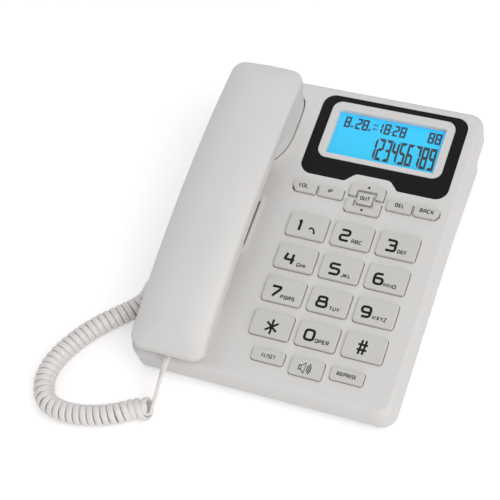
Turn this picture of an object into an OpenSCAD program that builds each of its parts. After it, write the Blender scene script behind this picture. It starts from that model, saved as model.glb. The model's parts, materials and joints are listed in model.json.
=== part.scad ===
// Corded desk telephone: a wedge base with display and keypad, a handset in its cradle and a curly cord.
// Most pieces are drawn in the panel's own frame: X to the right, Y up the slope, Z out of the panel,
// with the origin at the middle of the base's top. on_panel() carries them to the table's frame.

/* [Base] */
// Width of the base, left to right
base_w = 167; // [160:1:180]
// Length of the base along its sloping top
base_l = 210.4; // [208:0.1:225]
// Height of the top housing's side walls
base_h = 19; // [17:0.5:24]
// Plan radius of the base's corners
base_corner_r = 9.5; // [8.5:0.5:12]
// Radius of the soft shoulder between the top and the walls
shoulder_r = 4.5; // [2.5:0.5:4.5]
// Thickness of the base housings' walls
wall = 2.5; // [2.2:0.1:2.8]
// Slope of the top towards the user, in degrees
tilt = 8; // [6:0.5:10]
// Height of the top housing's front edge above the table
front_lift = 4; // [3.5:0.25:6]
// How far the bottom housing is tucked in behind the top housing's walls
tuck = 4; // [3.6:0.1:5]
// Depth of the earpiece's cup in the base
ear_cup_depth = 9; // [8:0.5:10]
// Depth of the mouthpiece's cup in the base
mouth_cup_depth = 6.5; // [5.5:0.5:7]
// Side of the raised loudspeaker grille under the handset, across the base
grille_w = 37; // [34:0.5:40]
// Side of the raised loudspeaker grille, along the base
grille_l = 43; // [41:0.5:46]
// Height of the raised loudspeaker grille
grille_h = 2; // [1.5:0.25:2.5]
// Width of one grille slot
grille_slot = 1.2; // [0.9:0.1:1.5]

/* [Handset] */
// Width of the handset
hs_w = 48; // [46:0.5:50]
// Length of the handset
hs_l = 201.5; // [198:0.5:204]
// Gap between the handset's side and the base's left side, in plan
hs_side_inset = 4.9; // [3.5:0.1:6]
// How far the handset's front end stands past the base's front
hs_overhang = 0.5; // [0:0.25:1]
// Plan radius of the handset's corners
hs_corner_r = 8.5; // [8:0.5:13]
// Radius of the edge round the handset's back
hs_edge_r = 1.6; // [1.2:0.2:2.4]
// Height of the handset's back over the panel at its highest point
hs_peak = 34; // [33:0.5:36]
// Radius of the long arch of the handset's back
hs_arch_r = 575; // [520:5:700]
// How much higher the middle of the back is than its rim
hs_crown = 5.6; // [4:0.2:6]
// Height of the outer shell's side, from the rim down to the joint
hs_rim_h = 5.6; // [5:0.2:6.5]
// How far the lower shell's walls stand in under the outer shell
hs_tuck = 4; // [3.5:0.25:4.5]
// Height of the gap for the fingers between the grip and the panel
finger_gap = 11; // [10:0.5:11.5]
// Thickness of the handset's shells
hs_wall = 2; // [1.8:0.1:2.2]
// Length of the earpiece's pod where it sits in its cup
ear_l = 56; // [52:0.5:58]
// Length of the mouthpiece's pod where it sits in its cup
mouth_l = 31.5; // [30:0.5:35]

/* [Keypad] */
// Gap between the keypad's columns
col_gap = 4; // [3:0.25:7]
// Gap between the rows of dialling keys
row_gap = 6.4; // [5.5:0.1:8]
// Height of the keys over the panel
key_rise = 2.2; // [1.8:0.1:2.8]
// Travel of the keys
key_travel = 1.2; // [0.8:0.1:1.4]
// Length of the small keys under the display
small_l = 7.2; // [6.4:0.1:7.4]

/* [Display] */
// Gap between the handset and the black fascia
fascia_gap = 10.05; // [8:0.05:12]
// Gap between the black fascia and the base's right side
fascia_side = 8.35; // [7:0.05:10]
// Thickness of the black fascia
fascia_t = 1.4; // [1.2:0.1:1.5]
// Width of the fascia's band beside the pale frame
fascia_band = 7.2; // [6:0.1:9]
// Width of the pale frame's band beside the window
frame_band = 5.7; // [4.5:0.1:7]
// How much longer the fascia is than the pale frame
fascia_over = 17.2; // [15:0.1:19]
// How much longer the pale frame is than the window
frame_over = 10.2; // [8:0.1:12]

/* [Handset cord] */
// Outer diameter of the curly cord's coil
coil_d = 13.4; // [12:0.2:14]
// Width of the flat cord
cord_d = 4; // [3:0.2:4.2]

/* [Fits] */
// Clearance between a key and its aperture
key_gap = 0.4; // [0.3:0.05:0.5]
// Running clearance between pieces that move past each other
run_gap = 0.3; // [0.25:0.05:0.4]
// Clearance round the pods where they enter their cups
cup_gap = 0.7; // [0.5:0.1:0.9]
// Clearance round a piece that is set into a pocket
pocket_gap = 0.15; // [0.1:0.05:0.25]

/* [Hidden] */
NODES = [
    "base_top_housing", "base_bottom_housing", "display_fascia", "display_frame", "display_window",
    "lcd_panel", "display_board", "main_board", "keypad_mat", "base_speaker", "line_jack",
    "base_handset_jack", "rubber_feet", "base_screws", "board_screws", "hook_switch", "hook_plunger",
    "key_1", "key_2", "key_3", "key_4", "key_5", "key_6", "key_7", "key_8", "key_9",
    "key_star", "key_0", "key_hash",
    "key_vol", "key_ip", "key_up", "key_down", "key_out", "key_del", "key_back",
    "key_flash_set", "key_speaker", "key_redial_pause",
    "handset_outer_shell", "handset_inner_shell", "earpiece_capsule", "microphone_capsule",
    "handset_weight", "handset_jack", "handset_screws", "handset_cord_plug", "base_cord_plug",
    "cord_lead", "cord_coil", "cord_tail"
];
eps = 0.01;
$fn = 48;

// Colours
body_grey = [0.83, 0.83, 0.82];
key_grey = [0.78, 0.78, 0.76];
black = [0.13, 0.12, 0.12];

// --- Places shared by several pieces, in the panel's frame ---
half_l = base_l / 2;
half_w = base_w / 2;
rim_t = 2;                          // thickness of the top housing's inward rim
rim_in = tuck - run_gap;            // the rim's opening, measured in from the walls' outside
lap = 3;                            // how far the bottom housing's wall reaches above the rim
skin_under = -wall;                 // underside of the panel's skin

hs_x = -half_w + hs_side_inset + hs_w / 2;
hs_front = -half_l - hs_overhang;
hs_back = hs_front + hs_l;
hs_mid = (hs_front + hs_back) / 2;
hs_peak_y = hs_mid + 29.5;
part_low = 12.4;                    // the joint between the shells never lies lower than this
flange_h = 1.6;                     // thickness of the lower shell's flange under the joint
end_run = 16;                       // length over which the back falls towards its ends
end_fall = 0.6;                     // share of the crown that it falls there
taper_top = 16.5;                   // height at which the earpiece's pod has its full size
mouth_taper_top = 10;               // the same for the mouthpiece's pod
pod_side = hs_w / 2 - 1.4;          // half width of the earpiece's pod at its lower face
pod_top_side = hs_w / 2 - 0.4;      // and at its full size
mouth_side = hs_w / 2 - hs_tuck - 3;  // the same for the mouthpiece's pod
mouth_top_side = hs_w / 2 - hs_tuck;
pod_end_in = 0.4;                   // inset of the earpiece pod's full size from the handset's end
mouth_end_in = 4.5;                 // the same for the mouthpiece's pod
ear_back_in = 2.5;                  // inset of the earpiece pod's lower face from the handset's end
ear_slope = 6;                      // run of the earpiece pod's inner slope
mouth_front_in = 13;                // inset of the mouthpiece pod's lower face from the handset's end
mouth_slope = 10;                   // run of the mouthpiece pod's inner slope
ear_z = -ear_cup_depth + run_gap;
mouth_z = -mouth_cup_depth + run_gap;
ear_y1 = hs_back - ear_back_in;
ear_y0 = ear_y1 - ear_l;
mouth_y0 = hs_front + mouth_front_in;
mouth_y1 = mouth_y0 + mouth_l;
ear_mid = (ear_y0 + ear_y1) / 2;
mouth_mid = (mouth_y0 + mouth_y1) / 2;
ear_k = -ear_z / (taper_top - ear_z);            // share of each pod's slope that lies under the panel
function mix(a, b, k) = a + (b - a) * k;
ear_cup_y0 = mix(ear_y0, ear_y0 - ear_slope, ear_k) - cup_gap;

panel_z = front_lift + half_l * sin(tilt) + base_h * cos(tilt);
front_reach = -hs_front * cos(tilt) + (back_z(0, -hs_l / 2) - hs_edge_r) * sin(tilt);
back_reach = half_l * cos(tilt) + base_h * sin(tilt);
panel_y = (front_reach - back_reach) / 2;

// Layout of the panel: places along it are shares of half the base's length
fascia_w = base_w - hs_side_inset - hs_w - fascia_gap - fascia_side;
frame_w = fascia_w - 2 * fascia_band;
lcd_w = frame_w - 2 * frame_band;
fascia_l = 0.568441 * half_l;
frame_l = fascia_l - fascia_over;
lcd_l = frame_l - frame_over;
col_pitch = 0.303030 * fascia_w;
key_w = col_pitch - col_gap;
row_pitch = 0.217681 * half_l;
key_l = row_pitch - row_gap;
axis_x = half_w - fascia_side - fascia_w / 2;  // centre line of the display and the keypad
row_1_y = 0.015209 * half_l;        // the first row of dialling keys
small_y = row_1_y + half_l / 4;     // the row of small keys
low_y = row_1_y - 3 * row_pitch - 0.201521 * half_l;
display_y = 0.653992 * half_l;
window_y = display_y + 3.6;
frame_y = display_y + 4.8;

grille_x = hs_x + hs_w / 2 - 4.6 - grille_w / 2;
grille_y = -4.3;
speaker_r = 20;
speaker_d = 12;

hook_y = ear_cup_y0 + 10;
hook_lift = 4;                      // how far the plunger rises when the handset is lifted
cup_floor = 2;

// Feet and lowest plane of the bottom housing
foot_h = 2.5;
foot_r = 7;
foot_sink = 0.7;
floor_z = foot_h - foot_sink + 0.2;
floor_t = 2;

// Boards and mat
mat_top = -7;                       // upper face of the rubber mat's sheet
mat_t = 1;
dome_h = 0.7;
board_t = 1.6;
board_z = mat_top - mat_t;          // upper face of the main board
board_w = fascia_w - 9.7;
board_x0 = axis_x - board_w / 2;
board_x1 = axis_x + board_w / 2;
board_y0 = -half_l + 8;
board_y1 = small_y + 14;
flange_t = 0.8;
flange_w = 1;                       // how far a key's flange reaches under the skin
stem_z = mat_top + dome_h + key_travel + run_gap;

// Stations of screws and posts
boss_r = 3.6;
pilot_r = 1.4;
shank_r = 1.3;
head_r = 2.8;
head_h = 2;
boss_end = -14.3;                   // where the top's bosses meet the bottom's posts
seat_z = boss_end - 4;              // where the screws' heads bear
base_screw_xy = [
    [half_w - 9, half_l - 16], [half_w - 9, 16 - half_l],
    [10 - half_w, ear_cup_y0 - 3.5], [10 - half_w, mouth_y1 + 16.2]
];
board_post_xy = [
    [board_x0 + 5, board_y1 - 4.5], [board_x1 - 5, board_y1 - 4.5],
    [board_x0 + 5, board_y0 + 4], [board_x1 - 5, board_y0 + 4]
];
lcd_post_xy = [
    for (sx = [-1, 1], sy = [-1, 1])
        [axis_x + sx * (frame_w / 2 - 1), window_y + sy * (lcd_l / 2 + 4.5)]
];

// Display stack, from the panel's face downwards
fascia_z = -fascia_t + 0.2;
frame_t = 2;
window_z = skin_under - 0.6;
lcd_t = 2.8;
lcd_z = window_z - lcd_t;
lcd_board_z = lcd_z - board_t;

// Jacks and plugs, in the table's frame
jack_w = 12;
jack_h = 8.6;
jack_l = 14;
socket_w = 8;
socket_h = 6.8;
plug_w = 7.7;
plug_h = 6.4;
side_jack_y = mouth_y1 + 31.2;
side_jack_z = 8.2;
side_wall_x = -half_w + tuck;
plug_out = 5;                       // how far the base's plug stands out of the wall
back_jack_x = 35;
back_jack_w = 16;
back_jack_h = 13;
back_jack_z = 14;
back_socket_w = 10;
back_socket_h = 7;
bottom_y0 = panel_y - half_l * cos(tilt) + base_h * sin(tilt) + tuck;
bottom_y1 = panel_y + half_l * cos(tilt) + base_h * sin(tilt) - tuck - rim_t * sin(tilt);
keyhole_pitch = 100;
keyhole_y = 4;

// The handset's plug, in the panel's frame
hs_plug_z = 5.5;
hs_plug_y = hs_front + 2.5;
hs_jack_l = 12;
hs_jack_y = mouth_y0 - 0.8;

// Routes of the cord, in the table's frame
lead_route = [
    [-54.6, -102.9, 28.5], [-54.7, -107.5, 27.5], [-55.1, -110.5, 25.5], [-55.8, -113.5, 22.2],
    [-56.8, -116.5, 18.4], [-57.9, -119.5, 14.6], [-59, -122.5, 11.4], [-60, -125.5, 9],
    [-60.9, -128.3, 7.6], [-62, -130.4, 7], [-63.6, -131.4, 6.8]
];
coil_route = [
    [-64, -131.7, 6.8], [-70, -134, 6.8], [-79.2, -139.6, 6.8], [-90.6, -144, 6.8],
    [-102.8, -146.7, 6.8], [-113, -146.8, 6.8], [-122.4, -144, 6.8], [-128.6, -137, 6.8],
    [-131.6, -127.6, 6.8], [-131.2, -117.2, 6.8], [-128, -107.2, 6.8], [-122.6, -96.6, 6.8],
    [-116.4, -87.2, 6.8], [-109.4, -79, 6.8], [-102.2, -71.6, 6.8], [-96.6, -65.6, 6.8],
    [-92.8, -59.8, 6.8], [-91.4, -53.6, 6.8], [-91.3, -49, 6.8]
];
tail_route = [
    [-91.3, -49, 6.8], [-91.4, -45.6, 6.8], [-91.8, -42, 7], [-92.4, -38.4, 7.4],
    [side_wall_x - 13.1, side_jack_y - 5, 7.8], [side_wall_x - 11.9, side_jack_y - 1.8, 8.1],
    [side_wall_x - 8.9, side_jack_y - 0.2, side_jack_z],
    [side_wall_x - plug_out, side_jack_y, side_jack_z]
];

// --- Helpers ---
module on_panel() {
    translate([0, panel_y, panel_z]) rotate([tilt, 0, 0]) children();
}

// A rectangle with round corners, centred
module round_rect(w, l, r) {
    square([w - 2 * r, l], center = true);
    square([w, l - 2 * r], center = true);
    for (sx = [-1, 1], sy = [-1, 1])
        translate([sx * (w / 2 - r), sy * (l / 2 - r)]) circle(r);
}

module plate(w, l, z0, z1, r) {
    translate([0, 0, z0]) linear_extrude(z1 - z0) round_rect(w, l, r);
}

module block(x0, x1, y0, y1, z0, z1) {
    translate([x0, y0, z0]) cube([x1 - x0, y1 - y0, z1 - z0]);
}

module rod(x, y, z0, z1, r) {
    translate([x, y, z0]) cylinder(h = z1 - z0, r = r);
}

// A flat-bottomed slab whose upper edge and corners are rounded
module soft_slab(w, l, h, r_plan, r_edge) {
    hull() {
        for (sx = [-1, 1], sy = [-1, 1])
            translate([sx * (w / 2 - r_plan), sy * (l / 2 - r_plan), -h])
                rotate_extrude($fn = 40) soft_post(r_plan, h, r_edge);
    }
}

module soft_post(r, h, r_edge) {
    steps = 6;
    polygon(concat([[0, 0], [r, 0]],
        [for (i = [0:steps]) let (a = 90 * i / steps)
            [r - r_edge + r_edge * cos(a), h - r_edge + r_edge * sin(a)]],
        [[0, h]]));
}

// The pods' outline: nearly square at the handset's end, rounder towards the grip
pod_n_out = 6;
pod_n_in = 2.1;
function sgn(v) = v < 0 ? -1 : 1;
function pod_points(a, b, end) = [
    for (i = [0:47])
        let (t = 7.5 * i, c = cos(t), s = sin(t), n = s * end > 0 ? pod_n_out : pod_n_in)
            [a * sgn(c) * pow(abs(c), 2 / n), b * sgn(s) * pow(abs(s), 2 / n)]
];

// A straight prism on the pods' outline between two places along the handset
module pod_prism(a, y0, y1, end, z0, z1) {
    translate([hs_x, (y0 + y1) / 2, z0])
        linear_extrude(z1 - z0) polygon(pod_points(a, (y1 - y0) / 2, end));
}

// The handset's outline, drawn in by a margin
module hs_outline(inset) {
    translate([hs_x, hs_mid])
        round_rect(hs_w - 2 * inset, hs_l - 2 * inset, hs_corner_r - inset);
}

module hs_slice(inset, y0, y1, z0, z1) {
    translate([0, 0, z0]) linear_extrude(z1 - z0) intersection() {
        hs_outline(inset);
        translate([hs_x - hs_w, y0]) square([2 * hs_w, y1 - y0]);
    }
}

// A block across the handset, down from the joint between the shells by drop, or up from it if up is true
module from_joint(drop, up) {
    steps = 24;
    y0 = hs_front - 2;
    dy = (hs_l + 4) / steps;
    translate([hs_x - hs_w, 0, 0]) rotate([90, 0, 90]) linear_extrude(2 * hs_w) polygon(concat(
        [for (i = [0:steps]) [y0 + i * dy, hs_part(y0 + i * dy) - (up ? 0 : drop)]],
        [for (i = [steps:-1:0]) [y0 + i * dy, up ? 60 : hs_part(y0 + i * dy)]]));
}

// A tube swept along a route
function unit(v) = v / norm(v);
function tangent(p, i) = unit(p[min(i + 1, len(p) - 1)] - p[max(i - 1, 0)]);
module swept_tube(route, r, sides) {
    ring = [for (i = [0:len(route) - 1])
        let (t = tangent(route, i), u = unit(cross(t, [0, 0, 1] + 0.3 * [t[1], -t[0], 0])), v = cross(u, t))
            [for (k = [0:sides - 1]) let (a = 360 * (k + 0.5) / sides)
                route[i] + r * (cos(a) * u + sin(a) * v)]];
    last = len(route) - 1;
    polyhedron(
        points = [for (one = ring) each one],
        faces = concat(
            [[for (k = [0:sides - 1]) k]],
            [[for (k = [sides - 1:-1:0]) last * sides + k]],
            [for (i = [0:last - 1], k = [0:sides - 1])
                let (n = (k + 1) % sides) each [
                    [i * sides + k, (i + 1) * sides + k, (i + 1) * sides + n],
                    [i * sides + k, (i + 1) * sides + n, i * sides + n]]]));
}

// --- Fascia outline, with its notch over the arrow keys ---
notch_w = 22.4;
notch_run = 6;
notch_l = 6.2;
notch_in_r = 5;                     // radius of the notch's inner corners
notch_out_r = 2.5;                  // radius of its outer corners
fascia_r = 8;
module fascia_shape(grow) {
    offset(r = -notch_in_r) offset(r = notch_in_r + notch_out_r)
    offset(delta = grow - notch_out_r) difference() {
        translate([axis_x, display_y]) round_rect(fascia_w, fascia_l, fascia_r);
        translate([axis_x, display_y - fascia_l / 2]) polygon([
            [-notch_w / 2 - notch_run, -5], [notch_w / 2 + notch_run, -5],
            [notch_w / 2 + notch_run, 0], [notch_w / 2, notch_l],
            [-notch_w / 2, notch_l], [-notch_w / 2 - notch_run, 0]]);
    }
}

// --- Keys ---
dial_names = ["key_1", "key_2", "key_3", "key_4", "key_5", "key_6", "key_7", "key_8", "key_9",
    "key_star", "key_0", "key_hash"];
function dial_x(i) = axis_x + (i % 3 - 1) * col_pitch;
function dial_y(i) = row_1_y - floor(i / 3) * row_pitch;
small_in = 14.2;                    // from the axis to the keys next to the arrow cluster
small_gap = 1.5;
small_w = (fascia_w / 2 - small_in - small_gap - 0.55) / 2;
small_step = small_w + small_gap;
small_1 = small_in + small_w / 2;
small_2 = small_1 + small_step;
low_w = 0.8 * key_w;
low_l = 8.2;
low_step = low_w + 4.6;
low_rise = 1.4;                     // how far the outer low keys' middles lie above the middle one's
talk_w = low_w + 0.2;
talk_l = 11.2;
arrow_w = 22.4;
arrow_l = 20.2;
out_w = 9.6;
out_l = 7.3;
arrow_hole_w = 12.8;                 // the space between the arrow keys' arms, for the middle key
arrow_hole_l = 11.8;
arrow_split = 2.6;                  // gap between the two arrow keys

module key_rect(x, y, w, l, r) {
    translate([x, y]) round_rect(w, l, r);
}

// One small key whose outer end is round
module key_end_round(x, y, side) {
    translate([x, y]) intersection() {
        round_rect(small_w, small_l, 1.2);
        union() {
            translate([side > 0 ? -small_w : 0, -small_l]) square([small_w, 2 * small_l]);
            translate([side * (small_w / 2 - small_l * 0.55), small_l * 0.05])
                circle(small_l * 0.56);
            translate([side > 0 ? 0 : -small_w / 2 + small_l * 0.55, -small_l / 2])
                square([small_w / 2 - small_l * 0.55, small_l]);
        }
    }
}

// One arrow key: a bracket round the middle key; side is 1 for the upper one
module arrow_rect(side) {
    translate([axis_x, small_y]) difference() {
        intersection() {
            round_rect(arrow_w, arrow_l, 2);
            translate([-arrow_w, side > 0 ? arrow_split / 2 : -arrow_l - arrow_split / 2])
                square([2 * arrow_w, arrow_l]);
        }
        square([arrow_hole_w, arrow_hole_l], center = true);
    }
}

module key_shape(name) {
    if (name == "key_vol") key_end_round(axis_x - small_2, small_y, -1);
    if (name == "key_ip") key_rect(axis_x - small_1, small_y, small_w, small_l, 1.2);
    if (name == "key_del") key_rect(axis_x + small_1, small_y, small_w, small_l, 1.2);
    if (name == "key_back") key_end_round(axis_x + small_2, small_y, 1);
    if (name == "key_out") key_rect(axis_x, small_y, out_w, out_l, 0.8);
    if (name == "key_up") arrow_rect(1);
    if (name == "key_down") arrow_rect(-1);
    if (name == "key_flash_set") key_rect(axis_x - low_step, low_y + low_rise, low_w, low_l, 1.6);
    if (name == "key_speaker") key_rect(axis_x, low_y, talk_w, talk_l, 1.6);
    if (name == "key_redial_pause") key_rect(axis_x + low_step, low_y + low_rise, low_w, low_l, 1.6);
    for (i = [0:11])
        if (name == dial_names[i]) key_rect(dial_x(i), dial_y(i), key_w, key_l, 2);
}

// Where a key's stem meets the mat
function stem_at(name) =
    name == "key_vol" ? [axis_x - small_2, small_y] :
    name == "key_ip" ? [axis_x - small_1, small_y] :
    name == "key_del" ? [axis_x + small_1, small_y] :
    name == "key_back" ? [axis_x + small_2, small_y] :
    name == "key_out" ? [axis_x, small_y] :
    name == "key_up" ? [axis_x, small_y + arrow_l / 4 + arrow_hole_l / 4] :
    name == "key_down" ? [axis_x, small_y - arrow_l / 4 - arrow_hole_l / 4] :
    name == "key_flash_set" ? [axis_x - low_step, low_y + low_rise] :
    name == "key_speaker" ? [axis_x, low_y] :
    name == "key_redial_pause" ? [axis_x + low_step, low_y + low_rise] :
    let (i = search([name], dial_names)[0]) [dial_x(i), dial_y(i)];
key_names = [for (i = [17:38]) NODES[i]];
stem_r = 1.7;
ledge = 0.65;                       // how far the step round a key's foot stands out under the skin

// A key's cap with a bevelled top, the ledge that holds it under the skin, and its stem
module key(name) {
    bevel = 0.5;
    at = stem_at(name);
    color(key_grey) on_panel() {
        translate([0, 0, skin_under - run_gap - flange_t])
            linear_extrude(key_rise - bevel - skin_under + run_gap + flange_t) key_shape(name);
        translate([0, 0, key_rise - bevel]) linear_extrude(bevel) offset(delta = -bevel) key_shape(name);
        if (name != "key_out")
            difference() {
                intersection() {
                    translate([0, 0, skin_under - run_gap - flange_t])
                        linear_extrude(flange_t) offset(delta = ledge) key_shape(name);
                    translate([at[0], at[1], skin_under - 3]) cube([60, 4, 9], center = true);
                }
                if (name == "key_up" || name == "key_down")
                    translate([at[0], at[1], skin_under - 3]) cube([arrow_hole_w + 4, 9, 9], center = true);
            }
        rod(at[0], at[1], stem_z, skin_under, stem_r);
    }
}

// --- Base ---
module base_top_housing() {
    color(body_grey) on_panel() {
        difference() {
            union() {
                difference() {
                    soft_slab(base_w, base_l, base_h, base_corner_r, shoulder_r);
                    plate(base_w - 2 * wall, base_l - 2 * wall, -base_h + rim_t, skin_under,
                        base_corner_r - wall);
                    plate(base_w - 2 * rim_in, base_l - 2 * rim_in, -base_h - 1, -base_h + rim_t + 1,
                        base_corner_r - rim_in);
                }
                ear_cup(cup_floor);
                mouth_cup(cup_floor);
                translate([grille_x, grille_y, 0]) plate(grille_w, grille_l, -1, grille_h, 4);
                for (p = base_screw_xy) rod(p[0], p[1], boss_end, skin_under + eps, boss_r);
                for (p = board_post_xy) rod(p[0], p[1], board_z, skin_under + eps, boss_r - 0.8);
                for (p = lcd_post_xy) rod(p[0], p[1], lcd_z, skin_under + eps, 2.4);
                speaker_ring();
                for (s = [-1, 1])
                    rod(hs_x + s * hook_post, hook_y, hook_top, -ear_cup_depth - cup_floor + eps, 2);
            }
            ear_cup(0);
            mouth_cup(0);
            for (p = concat(base_screw_xy, board_post_xy))
                rod(p[0], p[1], boss_end - 1, skin_under, pilot_r);
            translate([0, 0, fascia_z - pocket_gap]) linear_extrude(5) fascia_shape(pocket_gap);
            translate([axis_x, frame_y, 0])
                plate(frame_w + 2 * pocket_gap, frame_l + 2 * pocket_gap, fascia_z - 1, 2, frame_r);
            translate([axis_x, window_y, 0]) plate(lcd_w, lcd_l, skin_under - 1, 2, 1);
            for (name = key_names)
                translate([0, 0, skin_under - 1])
                    linear_extrude(5) offset(delta = key_gap) key_shape(name);
            grille_slots();
            hook_hole();
        }
    }
}

// The cups follow the pods' slopes; shell draws the solid that leaves this much wall round the hollow
module ear_cup(shell) {
    g = cup_gap + shell;
    low = -ear_cup_depth - shell;
    intersection() {
        hull() {
            pod_prism(pod_side + g, ear_y0 - g, ear_y1 + g, 1, low, low + 0.3);
            pod_prism(pod_top_side + g, ear_y0 - ear_slope - g, hs_back - pod_end_in + g, 1,
                taper_top, taper_top + 1);
        }
        if (shell > 0) plate(3 * base_w, 2 * base_l, -base_h, skin_under + eps, 1);
    }
}

module mouth_cup(shell) {
    g = cup_gap + shell;
    low = -mouth_cup_depth - shell;
    intersection() {
        hull() {
            pod_prism(mouth_side + g, mouth_y0 - g, mouth_y1 + g, -1, low, low + 0.3);
            pod_prism(mouth_top_side + g, hs_front + mouth_end_in - g, mouth_y1 + mouth_slope + g, -1,
                mouth_taper_top, mouth_taper_top + 1);
        }
        if (shell > 0) plate(3 * base_w, 2 * base_l, -base_h, skin_under + eps, 1);
    }
}

frame_r = 6.5;
module speaker_ring() {
    translate([grille_x, grille_y, 0]) difference() {
        rod(0, 0, skin_under - 5, skin_under + eps, speaker_r + 1.8);
        rod(0, 0, skin_under - 6, skin_under, speaker_r + pocket_gap);
    }
}

module grille_slots() {
    pitch = 3.1;
    count = floor((grille_w - 2 * grille_slot) / pitch);
    for (i = [0:count - 1])
        translate([grille_x + grille_w / 2 - 1.4 - i * pitch, grille_y, 0]) {
            long = i == 0 ? grille_l - 11 : grille_l - 9;
            plate(grille_slot, long, skin_under - 1, grille_h + 1, grille_slot / 2 - eps);
        }
}

hook_w = 9;
hook_l = 6;
hook_stem_r = 2;
hook_post = 11;
hook_flange = -ear_cup_depth - cup_floor - hook_lift - run_gap;
hook_top = hook_flange - 1.2;       // underside of the pressed plunger and upper face of the switch
module hook_hole() {
    translate([hs_x, hook_y, 0]) plate(hook_w + 2 * run_gap, hook_l + 2 * run_gap,
        -ear_cup_depth - 1.2, 0, 1);
    rod(hs_x, hook_y, -ear_cup_depth - cup_floor - 1, 0, hook_stem_r + run_gap);
}

module hook_plunger() {
    color(key_grey) on_panel() {
        translate([hs_x, hook_y, 0]) plate(hook_w, hook_l, -ear_cup_depth - 1, ear_z - run_gap, 0.8);
        rod(hs_x, hook_y, hook_top, -ear_cup_depth - 1 + eps, hook_stem_r);
        rod(hs_x, hook_y, hook_top, hook_flange, hook_stem_r + 1.4);
    }
}

module hook_switch() {
    color(black) on_panel()
        translate([hs_x, hook_y, 0]) {
            plate(2 * hook_post + 5, 6.5, hook_top - 3, hook_top, 1);
            plate(14, 6.5, hook_top - 9, hook_top - 3 + eps, 0.6);
            for (s = [-5, 0, 5]) block(s - 0.3, s + 0.3, -1, 1, hook_top - 12, hook_top - 9 + eps);
        }
}

// Everything above a plane parallel to the panel
module over_panel(z) {
    on_panel() translate([-base_w, -base_l, z]) cube([2 * base_w, 2 * base_l, 80]);
}

keyhole_y2 = [keyhole_y - keyhole_pitch / 2, keyhole_y + keyhole_pitch / 2];

// The open tray of the bottom housing, cut off parallel to the panel
module bottom_tray() {
    w = base_w - 2 * tuck;
    l = bottom_y1 - bottom_y0;
    mid = (bottom_y0 + bottom_y1) / 2;
    r = base_corner_r - tuck;
    difference() {
        translate([0, mid, 0]) plate(w, l, floor_z, panel_z + 10, r);
        translate([0, mid, 0])
            plate(w - 2 * wall, l - 2 * wall, floor_z + floor_t, panel_z + 11, r - wall);
        over_panel(-base_h + lap);
    }
}

module base_bottom_housing() {
    color(body_grey) difference() {
        union() {
            bottom_tray();
            difference() {
                on_panel() for (p = base_screw_xy) rod(p[0], p[1], -60, boss_end, boss_r + 0.4);
                translate([-base_w, -base_l, floor_z - 60]) cube([2 * base_w, 2 * base_l, 60]);
            }
            for (y = keyhole_y2)
                translate([0, y + 4, 0]) plate(16, 24, floor_z + eps, floor_z + floor_t + 1.2, 4);
        }
        on_panel() for (p = base_screw_xy) {
            rod(p[0], p[1], -60, seat_z, head_r + 0.4);
            rod(p[0], p[1], seat_z - 1, boss_end + 1, shank_r + 0.3);
        }
        for (p = foot_xy) rod(p[0], p[1], floor_z - 1, floor_z + foot_sink, foot_r + 0.2);
        for (y = keyhole_y2) {
            rod(0, y, floor_z - 1, floor_z + floor_t + 2, 4.5);
            block(-2.3, 2.3, y, y + 8, floor_z - 1, floor_z + floor_t + 2);
            rod(0, y + 8, floor_z - 1, floor_z + floor_t + 2, 2.3);
        }
        block(side_wall_x - 5, side_wall_x + wall + 1,
            side_jack_y - socket_w / 2, side_jack_y + socket_w / 2,
            side_jack_z - socket_h / 2, side_jack_z + socket_h / 2);
        block(back_jack_x - back_socket_w / 2, back_jack_x + back_socket_w / 2, bottom_y1 - wall - 1,
            bottom_y1 + 5, back_jack_z - back_socket_h / 2, back_jack_z + back_socket_h / 2);
    }
}

foot_xy = [
    for (sx = [-1, 1])
        each [[sx * (half_w - 24), bottom_y0 + 14], [sx * (half_w - 24), bottom_y1 - 14]]
];
module rubber_feet() {
    color(black) for (p = foot_xy) rod(p[0], p[1], 0, floor_z + foot_sink, foot_r);
}

module screw(p, seat, length) {
    rod(p[0], p[1], seat - head_h, seat, head_r);
    rod(p[0], p[1], seat - eps, seat + length, shank_r);
}

module base_screws() {
    color("silver") on_panel() for (p = base_screw_xy) screw(p, seat_z, 12);
}

module board_screws() {
    color("silver") on_panel() for (p = board_post_xy) screw(p, board_z - board_t, 4.5);
}

// --- Display ---
module display_fascia() {
    color(black) on_panel() translate([0, 0, fascia_z]) difference() {
        linear_extrude(fascia_t) fascia_shape(0);
        translate([axis_x, frame_y, 0]) plate(frame_w, frame_l, -1, fascia_t + 1, frame_r);
    }
}

module display_frame() {
    color(body_grey) on_panel() difference() {
        translate([axis_x, frame_y, 0]) plate(frame_w - 2 * pocket_gap, frame_l - 2 * pocket_gap,
            fascia_z - 0.8, 0.5, frame_r - pocket_gap);
        hull() {
            translate([axis_x, window_y, 0])
                plate(lcd_w - 0.3, lcd_l - 0.3, fascia_z - 1.8, fascia_z - 0.8, 0.4);
            translate([axis_x, window_y, 0]) plate(lcd_w + 0.5, lcd_l + 0.5, 0.4, 1.5, 0.6);
        }
    }
}

module display_window() {
    color([0.7, 0.85, 0.9, 0.3]) on_panel() translate([axis_x, window_y, 0])
        plate(lcd_w + 5, lcd_l + 3.4, window_z, skin_under, 1);
}

module lcd_panel() {
    color([0.26, 0.78, 0.96]) on_panel() translate([axis_x, window_y, 0])
        plate(lcd_w + 5, lcd_l + 3.4, lcd_z, window_z, 0.6);
}

module display_board() {
    color("darkgreen") on_panel() translate([axis_x, window_y, 0])
        plate(frame_w + 6, lcd_l + 14.5, lcd_board_z, lcd_z, 1);
}

module main_board() {
    color("darkgreen") on_panel() difference() {
        block(board_x0, board_x1, board_y0, board_y1, board_z - board_t, board_z);
        for (p = board_post_xy) rod(p[0], p[1], board_z - board_t - 1, board_z + 1, shank_r + 0.3);
    }
}

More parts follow.
